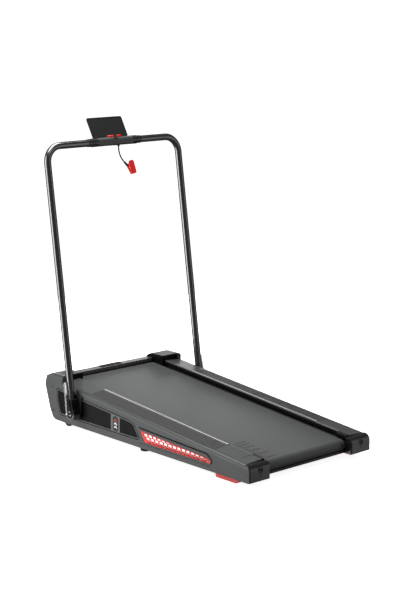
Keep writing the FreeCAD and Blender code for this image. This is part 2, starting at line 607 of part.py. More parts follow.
def side_mesh():
    """Left red grille with rows of slanting cells, set like bricks."""
    x0 = -HALF_WIDTH + 0.8
    plate = side_prism(MESH_PLATE, x0, x0 + 2.2, MESH_PLATE_RADII)
    pitch_y, pitch_z, half_long, half_high, slant = 22.4, 10.2, 8.2, 3.9, 1.6
    (front_y, front_z), (rear_y, rear_z) = MESH_PLATE[0], MESH_PLATE[4]
    fall = (front_z - rear_z) / (front_y - rear_y)
    low_y, low_z = MESH_PLATE[1]
    lean = (front_y - low_y) / (front_z - low_z)
    lowest_row, first_cell, rim = 52.6, -28.0, 4.0
    cells = []
    for row in range(4):
        z = lowest_row + row * pitch_z
        for k in range(16):
            y = first_cell - k * pitch_y + (row % 2) * pitch_y / 2 + (row // 2) * pitch_y
            low = z - half_high
            high = min(z + half_high, front_z - (front_y - y + half_long) * fall - 2.4)
            front_limit = low_y + (low - low_z) * lean - rim
            if high - low < 2.6 or y - half_long < rear_y - rim or y + half_long > front_limit:
                continue
            cell = [(y - half_long - slant, low), (y + half_long - slant, low),
                    (y + half_long + slant, high), (y - half_long + slant, high)]
            cells.append(side_prism(cell, x0 - 1, x0 + 4, 0.7))
    return plate.cut(Part.makeCompound(cells)).removeSplitter()


def mesh_backing():
    """Left pale diffuser strip behind the grille."""
    return side_prism(MESH_PLATE, -HALF_WIDTH + 3.2, -HALF_WIDTH + 5.0, MESH_PLATE_RADII, 1.0)


def cover_screws():
    """Small pan-head screws of the side covers."""
    screws = []
    for y, z in SCREWS:
        head = Part.makeCylinder(SCREW_HEAD_R, 2.0, V(-HALF_WIDTH - 0.8, y, z), V(1, 0, 0))
        slot = block(-HALF_WIDTH - 1, -HALF_WIDTH, y - 2.2, y + 2.2, z - 0.4, z + 0.4)
        screws.append(head.cut(slot).cut(slot_turned(slot, y, z)))
    return Part.makeCompound(screws + [mirrored(s) for s in screws])


def slot_turned(slot, y, z):
    """The second arm of a cross recess."""
    arm = slot.copy()
    arm.rotate(V(0, y, z), V(1, 0, 0), 90)
    return arm


# ---- feet and wheels ----------------------------------------------------------------------------
def transport_wheel():
    """Left transport wheel, seen as the small round foot under the nose."""
    wheel = rod_x(WHEEL_R, -253, -237, 440, WHEEL_R)
    rims = [e for e in wheel.Edges if e.Length > 60 and len(e.Vertexes) == 1]
    wheel = wheel.makeFillet(2.5, rims)
    return wheel.cut(rod_x(4 + RUN_FIT, -260, -230, 440, WHEEL_R))


def wheel_forks():
    """Forks that hang the transport wheels from the floor pan."""
    fork = block(-258, -255, 430, 450, 10, 39).fuse(block(-235, -232, 430, 450, 10, 39))
    fork = fork.fuse(block(-258, -232, 430, 450, 36, 39))
    fork = fork.cut(rod_x(4, -260, -230, 440, WHEEL_R))
    return both(fork.removeSplitter())


def wheel_axles():
    """Pins of the transport wheels."""
    return both(rod_x(4, -259.5, -230.5, 440, WHEEL_R))


def mid_feet():
    """Two rubber feet under the middle of the base."""
    cone = Part.makeCone(16.5, 20, FLOOR_GAP, V(-235, 26, 0))
    return both(cone.makeFillet(2.0, [cone.Edges[e] for e in range(len(cone.Edges))
                                      if abs(cone.Edges[e].BoundBox.ZMax) < 0.1]))


def rear_feet():
    """Two long red rubber pads under the rear corners."""
    pad = side_prism([(-348, FLOOR_GAP), (-352, 0), (-446, 0), (-456, 9), (-456, FLOOR_GAP)],
                     -256, -214, [0, 4, 3, 3, 0])
    return both(pad)


# ---- power inlet and switch ---------------------------------------------------------------------
SWITCH_PIN_R = 1.2           # pins that the rocker turns on


def power_inlet():
    """Appliance inlet and the switch's frame on one plate in the nose."""
    plate = block(-34, 34, -6, 0.8, -13, 13).fuse(block(-32, -2, -19, -5, -11, 11))
    socket = block(-30, -4, -17, 2, -9, 9)
    pins = [block(-25 + i * 7, -23 + i * 7, -18, -9, -2, 2) for i in range(3)]
    gate = block(5, 29, -7, 2, -10.2, 10.2)
    trunnions = rod_x(SWITCH_PIN_R + RUN_FIT, 4, 30, -3, 0)
    return inlet_placed(plate.cut(socket).multiFuse(pins).cut(gate).cut(trunnions).removeSplitter())


def power_switch():
    """Rocker of the power switch."""
    rocker = side_prism([(-5, -8.8), (0.6, -8.8), (2.4, -8.2), (0.4, 0), (3.6, 8.2), (1.6, 8.8),
                         (-5, 8.8)], 5.5, 28.5, [0, 0, 0, 12, 0, 0, 0])
    return inlet_placed(rocker.fuse(rod_x(SWITCH_PIN_R, 4.2, 29.8, -3, 0)).removeSplitter())


# ---- handrail -----------------------------------------------------------------------------------
def bracket_outline(grow=0.0):
    """(Y, Z) outline of the bracket behind the pivot."""
    return [(PIVOT_Y - 25 - grow, PIVOT_Z - 25 - grow), (PIVOT_Y + 25 + grow, PIVOT_Z - 25 - grow),
            (PIVOT_Y + 30 + grow, 143 + grow), (PIVOT_Y - 30 - grow, 138 + grow)]


def handlebar_bracket():
    """Left pivot bracket: steel plate on the cover with a stub that reaches the frame post."""
    plate = side_prism(bracket_outline(), -286.6, -HALF_WIDTH - 0.6, [24.9, 24.9, 7, 7])
    stub = rod_x(12, -HALF_WIDTH - 0.7, -FRAME_OUT, PIVOT_Y, PIVOT_Z)
    bracket = plate.fuse(stub)
    ring = rod_x(22.5, -287, -285.6, PIVOT_Y, PIVOT_Z).cut(rod_x(20.5, -288, -285, PIVOT_Y, PIVOT_Z))
    bracket = bracket.cut(ring).cut(rod_x(5 + RUN_FIT, -290, -240, PIVOT_Y, PIVOT_Z))
    screw = rod_x(4.2, -287.0, -286, PIVOT_Y - 13, 131)
    return bracket.fuse(screw).removeSplitter()


def handlebar_tube():
    """U-shaped handrail tube, two legs and the crossbar in one bend line."""
    low, high = PIVOT_S - 14, CROSSBAR_S
    corner = math.sqrt(0.5) * BEND_R
    left, right = -LEG_X, LEG_X
    path = [Part.LineSegment(lean_point(left, low), lean_point(left, high - BEND_R)).toShape(),
            Part.Arc(lean_point(left, high - BEND_R),
                     lean_point(left + BEND_R - corner, high - BEND_R + corner),
                     lean_point(left + BEND_R, high)).toShape(),
            Part.LineSegment(lean_point(left + BEND_R, high), lean_point(right - BEND_R, high)).toShape(),
            Part.Arc(lean_point(right - BEND_R, high),
                     lean_point(right - BEND_R + corner, high - BEND_R + corner),
                     lean_point(right, high - BEND_R)).toShape(),
            Part.LineSegment(lean_point(right, high - BEND_R), lean_point(right, low)).toShape()]
    spine = Part.Wire(path)
    axis = V(0, SIN_L, COS_L)
    solids = []
    for radius in (TUBE_R, TUBE_R - TUBE_WALL):
        ring = Part.Wire(Part.makeCircle(radius, lean_point(left, low), axis))
        solids.append(spine.makePipeShell([ring], True, False))
    tube = solids[0].cut(solids[1])
    for x in (left, right):
        tube = tube.cut(rod_x(5, x - 20, x + 20, PIVOT_Y, PIVOT_Z))
    return tube


def pivot_boot():
    """Left moulded boot that wraps the foot of the leg."""
    axis = V(0, SIN_L, COS_L)
    x0, x1 = -316.2, -287.2
    low = rod_x(BOSS_R, x0, x1, PIVOT_Y, PIVOT_Z)
    half = 15.5
    top_s = PIVOT_S + 50
    across = V(0, COS_L, -SIN_L)
    base, top = lean_point(0, PIVOT_S), lean_point(0, top_s)
    corners = [base - across * 21.5, top - across * half, top + across * half, base + across * 21.5]
    web = side_prism([(c.y, c.z) for c in corners], x0, x1, [0, 4, 4, 0])
    boot = low.fuse(web).cut(rod(TUBE_R, lean_point(-LEG_X, PIVOT_S - 14), axis, 90))
    face = rod_x(15, x0 - 1, x0 + 1.5, PIVOT_Y, PIVOT_Z)
    return boot.cut(face).cut(rod_x(5, -330, -280, PIVOT_Y, PIVOT_Z)).removeSplitter()


def pivot_bolts():
    """Pivot bolts, from the clamp lever through the leg into the bracket's stub."""
    bolt = rod_x(5, -320.2, -248, PIVOT_Y, PIVOT_Z)
    washer = rod_x(9, -316.6, -314.9, PIVOT_Y, PIVOT_Z)
    return both(bolt.fuse(washer).removeSplitter())


def clamp_lever():
    """Left clamp lever: round barrel on the pivot and a long thin handle beside the leg."""
    barrel = Part.makeCylinder(5.2, 11, V(0, -5.5, 0), V(0, 1, 0)).fuse(Part.makeSphere(5.7))
    blade = cross_prism([(-3.2, 0), (2.6, 0), (3.0, 112), (-2.4, 112)], -4.0, 4.0, [0, 0, 2.6, 2.6])
    lever = barrel.fuse(blade)
    lever.rotate(V(0, 0, 0), V(0, 1, 0), 2.6)
    lever.rotate(V(0, 0, 0), V(1, 0, 0), -10.7)
    lever.translate(V(-326.2, PIVOT_Y, PIVOT_Z))
    return lever.removeSplitter()


# ---- console ------------------------------------------------------------------------------------
def console_section(grow):
    """(Y, Z) corners of the console body round the crossbar."""
    half_y, low, high = 15.2 + grow, BAR_Z - 14.4 - grow, BAR_Z + 14.6 + grow
    return [(BAR_Y - half_y, low), (BAR_Y + half_y, low), (BAR_Y + half_y, high),
            (BAR_Y - half_y, high)]


def console_housing():
    """Console body round the crossbar, with a waist for the centre band and the lanyard's outlet."""
    body = side_prism(console_section(0), -78, 78, 8)
    waist = side_prism(console_section(3), -7, 7, 8)
    waist = waist.cut(side_prism(console_section(-1.2), -8, 8, 7))
    ridge = block(-72, 72, BAR_Y - 16, BAR_Y - 14.6, BAR_Z - 1, BAR_Z + 1)
    outlet = CORD_ROUTE[0]
    body = body.fuse(Part.makeCone(4.2, 5.2, BAR_Z - 13.4 - outlet.z, outlet))
    return body.cut(waist).cut(ridge).cut(rod_x(TUBE_R, -90, 90, BAR_Y, BAR_Z)).removeSplitter()


def console_band():
    """Black band round the middle of the console."""
    band = side_prism(console_section(0.5), -6.8, 6.8, 8)
    band = band.cut(side_prism(console_section(-1.2), -8, 8, 7))
    return band.removeSplitter()


def console_collars():
    """Stepped collars at both ends of the console."""
    collar = rod_x(15.6, -101, -78, BAR_Y, BAR_Z).fuse(rod_x(14.2, -119, -101, BAR_Y, BAR_Z))
    collar = collar.cut(rod_x(15.9, -96, -94, BAR_Y, BAR_Z).cut(rod_x(14.6, -97, -93, BAR_Y, BAR_Z)))
    return both(collar.cut(rod_x(TUBE_R, -120, -77, BAR_Y, BAR_Z)).removeSplitter())


HINGE_Y, HINGE_Z = BAR_Y + 18.0, BAR_Z + 12.6   # phone holder's hinge axis
KNUCKLE_R = 3.4
PIN_HALF_LONG = 31.0


def holder_bracket():
    """Hinge bracket on the console's front, with two knuckles and the pin."""
    foot = block(-30, 30, BAR_Y + 15.2, BAR_Y + 17.2, BAR_Z - 4, BAR_Z + 9)
    for x0 in (-30, 16):
        knuckle = rod_x(KNUCKLE_R, x0, x0 + 14, HINGE_Y, HINGE_Z)
        web = block(x0, x0 + 14, BAR_Y + 15.2, BAR_Y + 17.2, BAR_Z, HINGE_Z)
        foot = foot.fuse(knuckle).fuse(web)
    foot = foot.cut(block(-15.9, 15.9, BAR_Y + 10, BAR_Y + 30, BAR_Z + 6, BAR_Z + 30))
    body = side_prism(console_section(0), -78, 78, 8)
    band = side_prism(console_section(0.6), -7, 7, 8)
    pin = rod_x(2, -PIN_HALF_LONG, PIN_HALF_LONG, HINGE_Y, HINGE_Z)
    return foot.cut(body).cut(band).fuse(pin).removeSplitter()


def phone_holder():
    """Phone plate with a raised rim and the knuckle it tips on."""
    half_w = PLATE_W / 2
    low, high = 4.0, 4.0 + PLATE_H
    skirt = 0.6                          # lower edge of the plate on both sides of the hinge
    notch_half_w = PIN_HALF_LONG + 0.8   # the skirt stays clear of the hinge pin's ends
    plate = cross_prism([(-half_w, skirt), (half_w, skirt), (half_w, high), (-half_w, high)], -1.6, 1.6,
                        [4, 4, 7, 7])
    plate = plate.cut(block(-notch_half_w, notch_half_w, -3, 3, skirt - 1, low))
    dish = cross_prism([(-half_w + 3, low + 3), (half_w - 3, low + 3), (half_w - 3, high - 3),
                        (-half_w + 3, high - 3)], -3, -0.8, [3, 3, 5, 5])
    knuckle = rod_x(KNUCKLE_R, -15.6, 15.6, 0, 0).fuse(block(-15.6, 15.6, -1.6, 1.6, 0, low + 2))
    holder = plate.cut(dish).fuse(knuckle).cut(rod_x(2 + RUN_FIT, -20, 20, 0, 0))
    holder.rotate(V(0, 0, 0), V(1, 0, 0), -PLATE_LEAN)
    holder.translate(V(0, HINGE_Y, HINGE_Z))
    return holder.removeSplitter()


KEY_Y, KEY_Z = BAR_Y + 1.5, BAR_Z + 14.6


def safety_key():
    """Red oval safety key that sits on the console."""
    half_long, half_wide, centre = 31.0, 8.5, 3.0
    ring = Part.Wire(Part.Ellipse(V(centre, KEY_Y, KEY_Z + 0.7), half_long, half_wide).toShape())
    key = Part.Face(ring).extrude(V(0, 0, 6.0))
    top = [e for e in key.Edges if abs(e.BoundBox.ZMin - KEY_Z - 6.7) < 0.05 and e.Length > 50]
    key = key.makeFillet(1.7, top)
    return key.cut(block(-5.2, 7.2, KEY_Y - 20, KEY_Y + 20, KEY_Z, KEY_Z + 20))


def key_tab():
    """Black pull tab across the middle of the safety key."""
    tab = block(-5.2, 7.2, KEY_Y - 9.6, KEY_Y + 8.6, KEY_Z + 0.7, KEY_Z + 8.6)
    edges = [e for e in tab.Edges if e.BoundBox.ZMin > KEY_Z + 8.0]
    return tab.makeFillet(2.2, edges)


# ---- lanyard and clip ---------------------------------------------------------------------------
CORD_ROUTE = [V(13.5, 463.0, 988.0), V(13.2, 462.4, 976.0), V(15.6, 461.4, 962.0),
              V(20.6, 460.4, 949.4), V(27.6, 459.6, 938.0), V(36.5, 459.0, 929.0)]
CLIP_LONG = V(0.137, -0.371, -0.918)     # from the clip's handles to its grip
CLIP_OUT = V(0.0, -0.927, 0.375)         # outwards from the front jaw
CLIP_CENTRE = V(63.7, 452.4, 909.0)
CLIP_HALF_W = 12.2


def tube_along(route, radius):
    """Round tube along straight runs joined by tangent arcs; returns solid, length and radii."""
    edges, radii, length = [], [], 0.0
    start = route[0]
    for i in range(1, len(route) - 1):
        before, here, after = route[i - 1], route[i], route[i + 1]
        back, ahead = before - here, after - here
        shorter = min(back.Length, ahead.Length)
        turn = math.pi - back.getAngle(ahead)
        arc_r = 0.45 * shorter / math.tan(turn / 2)
        back.normalize()
        ahead.normalize()
        tangent = 0.45 * shorter
        bisector = back + ahead
        bisector.normalize()
        centre = here + bisector * (arc_r / math.cos(turn / 2))
        enter, leave, middle = here + back * tangent, here + ahead * tangent, centre - bisector * arc_r
        edges.append(Part.LineSegment(start, enter).toShape())
        edges.append(Part.Arc(enter, middle, leave).toShape())
        length += start.distanceToPoint(enter) + arc_r * turn
        radii.append(arc_r)
        start = leave
    edges.append(Part.LineSegment(start, route[-1]).toShape())
    length += start.distanceToPoint(route[-1])
    spine = Part.Wire(edges)
    ring = Part.Wire(Part.makeCircle(radius, route[0], route[1] - route[0]))
    return spine.makePipeShell([ring], True, False), length, radii


def lanyard_cord():
    """Safety lanyard from the console's outlet to the swivel."""
    solid, length, radii = tube_along(CORD_ROUTE, CORD_R)
    ratio = solid.Volume / (math.pi * CORD_R ** 2 * length)
    print("lanyard length %.1f mm, volume ratio %.4f, arc radii %s" %
          (length, ratio, ["%.1f" % r for r in radii]))
    return solid


def lanyard_swivel():
    """Crimp and swivel that join the lanyard to the clip."""
    end = CORD_ROUTE[-1]
    heading = CORD_ROUTE[-1] - CORD_ROUTE[-2]
    heading.normalize()
    crimp = rod(3.9, end, heading, 7)
    neck = rod(2.4, end + heading * 7, heading, 3)
    eye = rod(4.4, end + heading * 10, heading, 9)
    return crimp.fuse(neck).fuse(eye).removeSplitter()


def in_clip(shape):
    """Move a shape from clip coordinates (X across, Y outwards, Z towards the grip) into place."""
    out = V(CLIP_OUT)
    along = V(CLIP_LONG)
    out.normalize()
    along.normalize()
    across = out.cross(along)
    across.normalize()
    along = across.cross(out)
    matrix = FreeCAD.Matrix(across.x, out.x, along.x, CLIP_CENTRE.x,
                            across.y, out.y, along.y, CLIP_CENTRE.y,
                            across.z, out.z, along.z, CLIP_CENTRE.z, 0, 0, 0, 1)
    moved = shape.copy()
    moved.Placement = FreeCAD.Placement(matrix)
    return moved


def jaw_plate(handle, sign):
    """One jaw of the clip: a bent plate, apart at the handle and closing at the grip."""
    outline = [(sign * 8.4, -handle), (sign * 4.2, 4), (sign * 0.4, 24), (sign * 3.6, 24),
               (sign * 6.8, 4), (sign * 11.0, -handle)]
    face = Part.Face(rounded_wire(outline, 0, lambda a, b: V(-CLIP_HALF_W, a, b)))
    plate = face.extrude(V(2 * CLIP_HALF_W, 0, 0))
    front = [(-CLIP_HALF_W, -handle), (CLIP_HALF_W, -handle), (CLIP_HALF_W, 24), (-CLIP_HALF_W, 24)]
    trim = Part.Face(rounded_wire(front, [8, 8, 3, 3], lambda a, b: V(a, -20, b))).extrude(V(0, 40, 0))
    return plate.common(trim)


def clip_base():
    """Rear jaw of the clip, with the two ears that carry its pin."""
    jaw = jaw_plate(17.0, -1)
    for x0 in (-8.6, 6.6):
        ear = block(x0, x0 + 2, -7.5, 2.8, -4, 4)
        jaw = jaw.fuse(ear)
    return in_clip(jaw.cut(rod_x(1.5, -12, 12, 0, 0)).removeSplitter())


def clip_jaw():
    """Front jaw of the clip, which opens when the handles are squeezed."""
    jaw = jaw_plate(24.0, 1)
    for x0 in (-6.2, 4.2):
        ear = block(x0, x0 + 2, -2.8, 7.2, -4, 4)
        jaw = jaw.fuse(ear)
    return in_clip(jaw.cut(rod_x(1.5 + RUN_FIT, -12, 12, 0, 0)).removeSplitter())


def clip_pin():
    """Hinge pin of the clip."""
    return in_clip(rod_x(1.5, -9.2, 9.2, 0, 0))


def clip_spring():
    """Coiled body of the clip's torsion spring, round the pin."""
    return in_clip(rod_x(2.7, -3.6, 3.6, 0, 0).cut(rod_x(1.8, -5, 5, 0, 0)))


# ---- build and write ----------------------------------------------------------------------------
def build_base():
    """Frame, deck, belt and drive."""
    rail = frame_rail()
    PARTS["frame_rails"] = both(rail)
    PARTS["cross_members"] = cross_members()
    PARTS["deck_board"] = deck_board()
    PARTS["deck_cushions"] = deck_cushions()
    PARTS["running_belt"] = running_belt()
    front, front_bearings = roller(FRONT_ROLLER_S, True)
    rear, rear_bearings = roller(REAR_ROLLER_S, False)
    PARTS["front_roller"] = front
    PARTS["front_roller_bearings"] = front_bearings
    PARTS["rear_roller"] = rear
    PARTS["rear_roller_bearings"] = rear_bearings
    PARTS["roller_axles"] = roller_axles()
    PARTS["motor"] = motor()
    PARTS["motor_shaft"] = motor_shaft()
    PARTS["drive_belt"] = drive_belt()
    PARTS["motor_mount"] = motor_mount()
    PARTS["motor_controller"] = motor_controller()
    PARTS["belly_pan"] = belly_pan()


def build_covers():
    """Mouldings, windows, feet and the mains inlet."""
    pair("side_cover", side_cover())
    pair("front_cap", front_cap())
    PARTS["front_hood"] = front_hood()
    PARTS["display_lens"] = display_lens()
    pair("foot_rail", foot_rail())
    PARTS["tread_inserts"] = both(tread_insert())
    PARTS["rear_caps"] = both(rear_cap())
    PARTS["tension_bolts"] = tension_bolts()
    PARTS["window_panels"] = both(window_panel())
    PARTS["window_bezels"] = both(window_bezel())
    PARTS["side_badges"] = both(side_badge())
    PARTS["mesh_trays"] = both(mesh_tray())
    PARTS["side_meshes"] = both(side_mesh())
    PARTS["mesh_backings"] = both(mesh_backing())
    PARTS["cover_screws"] = cover_screws()
    pair("transport_wheel", transport_wheel())
    PARTS["wheel_forks"] = wheel_forks()
    PARTS["wheel_axles"] = wheel_axles()
    PARTS["mid_feet"] = mid_feet()
    PARTS["rear_feet"] = rear_feet()
    PARTS["power_inlet"] = power_inlet()
    PARTS["power_switch"] = power_switch()


def build_handrail():
    """Folding handrail with its console, phone holder and lanyard."""
    PARTS["handlebar_brackets"] = both(handlebar_bracket())
    PARTS["handlebar_tube"] = handlebar_tube()
    PARTS["pivot_boots"] = both(pivot_boot())
    PARTS["pivot_bolts"] = pivot_bolts()
    pair("clamp_lever", clamp_lever())
    PARTS["console_housing"] = console_housing()
    PARTS["console_band"] = console_band()
    PARTS["console_collars"] = console_collars()
    PARTS["holder_bracket"] = holder_bracket()
    PARTS["phone_holder"] = phone_holder()
    PARTS["safety_key"] = safety_key()
    PARTS["key_tab"] = key_tab()
    PARTS["lanyard_cord"] = lanyard_cord()
    PARTS["lanyard_swivel"] = lanyard_swivel()
    PARTS["clip_base"] = clip_base()
    PARTS["clip_jaw"] = clip_jaw()
    PARTS["clip_pin_and_spring"] = Part.makeCompound([clip_pin(), clip_spring()])


def write_parts():
    """Write one STEP file per node and print its size."""
    os.makedirs("parts", exist_ok=True)
    for name, shape in PARTS.items():
        shape.exportStep("parts/" + name + ".step")
        box = shape.BoundBox
        state = "ok" if shape.isValid() else "NOT VALID"
        print("%-24s %d solids %s  X %.1f %.1f  Y %.1f %.1f  Z %.1f %.1f" %
              (name, len(shape.Solids), state, box.XMin, box.XMax, box.YMin, box.YMax,
               box.ZMin, box.ZMax))
    print(len(PARTS), "nodes")


build_base()
build_covers()
build_handrail()
write_parts()
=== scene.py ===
# %% [markdown]
# # A folding walking treadmill
# The model is a low electric treadmill with a flat belt, a folding U-shaped handrail, a phone holder and a
# safety clip on a short lanyard. Its hard parts come ready-made from the CAD frame, in metres, with the
# floor at Z = 0. This script gives every part its finish, and adds the pieces that are easier to make in
# Blender than in CAD.

# %% Load the frame
import math

import bmesh
import bpy
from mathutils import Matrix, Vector


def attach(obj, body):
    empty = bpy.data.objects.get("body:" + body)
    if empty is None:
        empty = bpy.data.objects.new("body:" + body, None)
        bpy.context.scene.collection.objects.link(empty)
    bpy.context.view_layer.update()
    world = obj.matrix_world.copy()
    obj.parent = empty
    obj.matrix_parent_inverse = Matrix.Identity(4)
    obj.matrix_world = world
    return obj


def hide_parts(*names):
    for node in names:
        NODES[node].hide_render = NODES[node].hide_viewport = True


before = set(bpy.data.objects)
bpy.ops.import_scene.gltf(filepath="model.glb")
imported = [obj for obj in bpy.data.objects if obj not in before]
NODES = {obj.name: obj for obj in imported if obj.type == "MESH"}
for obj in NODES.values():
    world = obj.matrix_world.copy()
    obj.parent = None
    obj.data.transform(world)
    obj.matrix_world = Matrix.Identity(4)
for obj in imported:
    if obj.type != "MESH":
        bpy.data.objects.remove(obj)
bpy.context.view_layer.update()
MM = 0.001

# %% [markdown]
# ## The camera
# The camera is placed first, because the lanyard is judged from it. A long lens a few metres away keeps the
# long base from looking stretched. The view direction is worked out from an azimuth and an elevation, which
# is how a product photographer would note it down.

# %% Camera
AZIMUTH = math.radians(-41.91)
ELEVATION = math.radians(11.36)
CAMERA_PLACE = Vector((-3.528, -3.9235, 1.553))
towards_camera = Vector((
    math.sin(AZIMUTH) * math.cos(ELEVATION),
    -math.cos(AZIMUTH) * math.cos(ELEVATION),
    math.sin(ELEVATION),
))
camera_data = bpy.data.cameras.new("camera")
camera_data.lens = 93.88
camera_data.sensor_width = 36.0
camera = bpy.data.objects.new("camera", camera_data)
camera.location = CAMERA_PLACE
camera.rotation_euler = towards_camera.to_track_quat("Z", "Y").to_euler()
bpy.context.scene.collection.objects.link(camera)
bpy.context.scene.camera = camera
bpy.context.scene.view_settings.view_transform = "Standard"
print("camera:", [round(v, 3) for v in camera.location])

# %% [markdown]
# ## The lanyard
# The lanyard is a short braided nylon cord. It hangs from the underside of the console and carries a swivel
# and a red spring clip. A single NURBS curve through a few listed points hangs as a limp cord does,
# and its round bevel gives the thickness.

# %% Lanyard cord
CORD_DIAMETER = 5 * MM
CORD_ROUTE = [
    (13.5, 463.0, 988.0),
    (13.2, 462.4, 976.0),
    (15.6, 461.4, 962.0),
    (20.6, 460.4, 949.4),
    (27.6, 459.6, 938.0),
    (36.5, 459.0, 929.0),
]
cord_data = bpy.data.curves.new("lanyard", "CURVE")
cord_data.dimensions = "3D"
line = cord_data.splines.new("NURBS")
line.points.add(len(CORD_ROUTE) - 1)
for point, place in zip(line.points, CORD_ROUTE):
    point.co = (*(value * MM for value in place), 1.0)
line.order_u = 3
line.use_endpoint_u = True
line.resolution_u = 12
cord_data.bevel_depth = CORD_DIAMETER / 2
cord_data.bevel_resolution = 6
cord_data.use_fill_caps = True
lanyard = bpy.data.objects.new("lanyard", cord_data)
bpy.context.scene.collection.objects.link(lanyard)
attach(lanyard, "handlebar")
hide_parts("lanyard_cord")
print("lanyard:", len(CORD_ROUTE), "points")

# %% [markdown]
# ## Tools for the finishes
# Colours are written as sRGB hex codes, the way a colour picker shows them, and turned into the linear
# values that Blender calculates with. One helper adds a shader node, sets it and links it, so each finish
# below reads as a short recipe. Patterns read object coordinates, which are metres on the real thing, so a
# scale is one over a size.

# %% Colour and node helpers


def linear(code):
    """An sRGB hex colour as a linear RGBA colour."""
    parts = [int(code[i:i + 2], 16) / 255 for i in (1, 3, 5)]
    return (*(p / 12.92 if p <= 0.04045 else ((p + 0.055) / 1.055) ** 2.4 for p in parts), 1.0)


def add(tree, kind, inputs=(), **settings):
    """Adds a node, sets its properties, and fills its inputs with values or with other nodes' outputs."""
    made = tree.nodes.new("ShaderNode" + kind)
    for name, value in settings.items():
        setattr(made, name, value)
    for name, value in dict(inputs).items():
        socket = made.inputs[name] if isinstance(name, int) else next(
            s for s in made.inputs if s.name == name and s.enabled)
        if isinstance(value, bpy.types.Node):
            value = next(s for s in value.outputs if s.enabled)
        if isinstance(value, bpy.types.NodeSocket):
            tree.links.new(value, socket)
        else:
            socket.default_value = value
    return made


def start(name):
    """A new empty material, with its node tree and its object coordinates."""
    material = bpy.data.materials.new(name)
    material.use_nodes = True
    tree = material.node_tree
    tree.nodes.clear()
    return material, tree, add(tree, "TexCoord").outputs["Object"]


def surface(tree, inputs, bump=None, depth=0.0, edge=0.0):
    """Ends a material: a Principled surface with a bump of that depth and edges eased by that radius."""
    inputs = dict(inputs)
    if edge:
        inputs["Normal"] = add(tree, "Bevel", {"Radius": edge}, samples=4)
    if bump is not None:
        under = {"Normal": inputs["Normal"]} if edge else {}
        inputs["Normal"] = add(tree, "Bump", {"Height": bump, "Distance": depth, **under})
    shader = add(tree, "BsdfPrincipled", inputs)
    add(tree, "OutputMaterial", {"Surface": shader})


FINISHES = {}

# %% [markdown]
# ## Moulded plastics
# Most of the body is injection-moulded ABS. The mould is spark-eroded, which leaves a fine even grain that
# spreads highlights, and handling leaves faint cloudy marks in the gloss. The recipe is the same for each
# plastic, and only the colour, the grain size and the roughness change. The eye reads the satin shell, the
# glossy trim and the matt phone plate as three different plastics mostly by their roughness.

# %% Moulded plastic recipe


def moulded(name, dark, light, roughness, grain, depth, cloud=60 * MM, edge=0.6 * MM, inputs=()):
    """A moulded plastic: two close shades in soft clouds, drifting roughness, and a fine mould grain."""
    material, tree, place = start(name)
    clouds = add(tree, "TexNoise", {"Vector": place, "Scale": 1 / cloud, "Detail": 3.0})
    specks = add(tree, "TexNoise", {"Vector": place, "Scale": 1 / grain})
    colour = add(tree, "Mix", {"Factor": clouds, "A": linear(dark), "B": linear(light)}, data_type="RGBA")
    gloss = add(tree, "MapRange", {
        "Value": clouds, "From Min": 0.3, "From Max": 0.7,
        "To Min": roughness - 0.04, "To Max": roughness + 0.04,
    })
    look = {"Base Color": colour, "Roughness": gloss, "IOR": 1.53, **dict(inputs)}
    surface(tree, look, specks, depth, edge)
    return material


# ABS with a spark-eroded grain: a charcoal that stays soft and even in the light.
FINISHES["charcoal_plastic"] = moulded(
    "abs_spark_eroded_charcoal", "#343636", "#3B3D3C", 0.42, 0.9 * MM, 0.03 * MM,
)
FINISHES["hood_plastic"] = moulded("abs_spark_eroded_hood", "#383A3A", "#424343", 0.26, 0.9 * MM, 0.02 * MM)
FINISHES["console_grey"] = moulded("abs_console_graphite", "#373838", "#404141", 0.36, 0.8 * MM, 0.03 * MM)
# Soft-touch paint over ABS: a matt black that hardly reflects, so the phone plate looks flat and dark.
FINISHES["holder_black"] = moulded("abs_soft_touch_black", "#1B1D1C", "#202221", 0.6, 0.8 * MM, 0.02 * MM,
                                   inputs={"Specular IOR Level": 0.12})
# Polypropylene and nylon: cheaper, waxier blacks for what is hidden or handled with a plug.
FINISHES["pan_plastic"] = moulded("polypropylene_black", "#141414", "#1C1C1C", 0.55, 1.5 * MM, 0.06 * MM)
FINISHES["inlet_black"] = moulded("nylon_inlet_black", "#101010", "#181818", 0.45, 0.7 * MM, 0.03 * MM)
# Polished ABS: the mould is polished too, so it mirrors lamps in small sharp spots.
FINISHES["gloss_black_plastic"] = moulded(
    "abs_polished_black", "#171818", "#1D1E1E", 0.22, 2.5 * MM, 0.004 * MM,
)
# Satin ABS: a paler grey, so the frames of the dark windows stand out.
FINISHES["bezel_grey"] = moulded("abs_satin_bezel", "#565857", "#606261", 0.34, 0.8 * MM, 0.02 * MM)
# Acrylic over a dark mask: the deepest black here, with mirror reflections.
FINISHES["display_lens"] = moulded("acrylic_smoked_lens", "#060707", "#0A0B0B", 0.08, 3 * MM, 0.001 * MM)
# Red ABS, coloured through: two close reds in soft clouds, which keep a saturated surface from looking
# flat.
FINISHES["red_plastic"] = moulded("abs_signal_red", "#DC1A12", "#E8241B", 0.36, 1.6 * MM, 0.006 * MM)
print("plastics:", len(FINISHES))
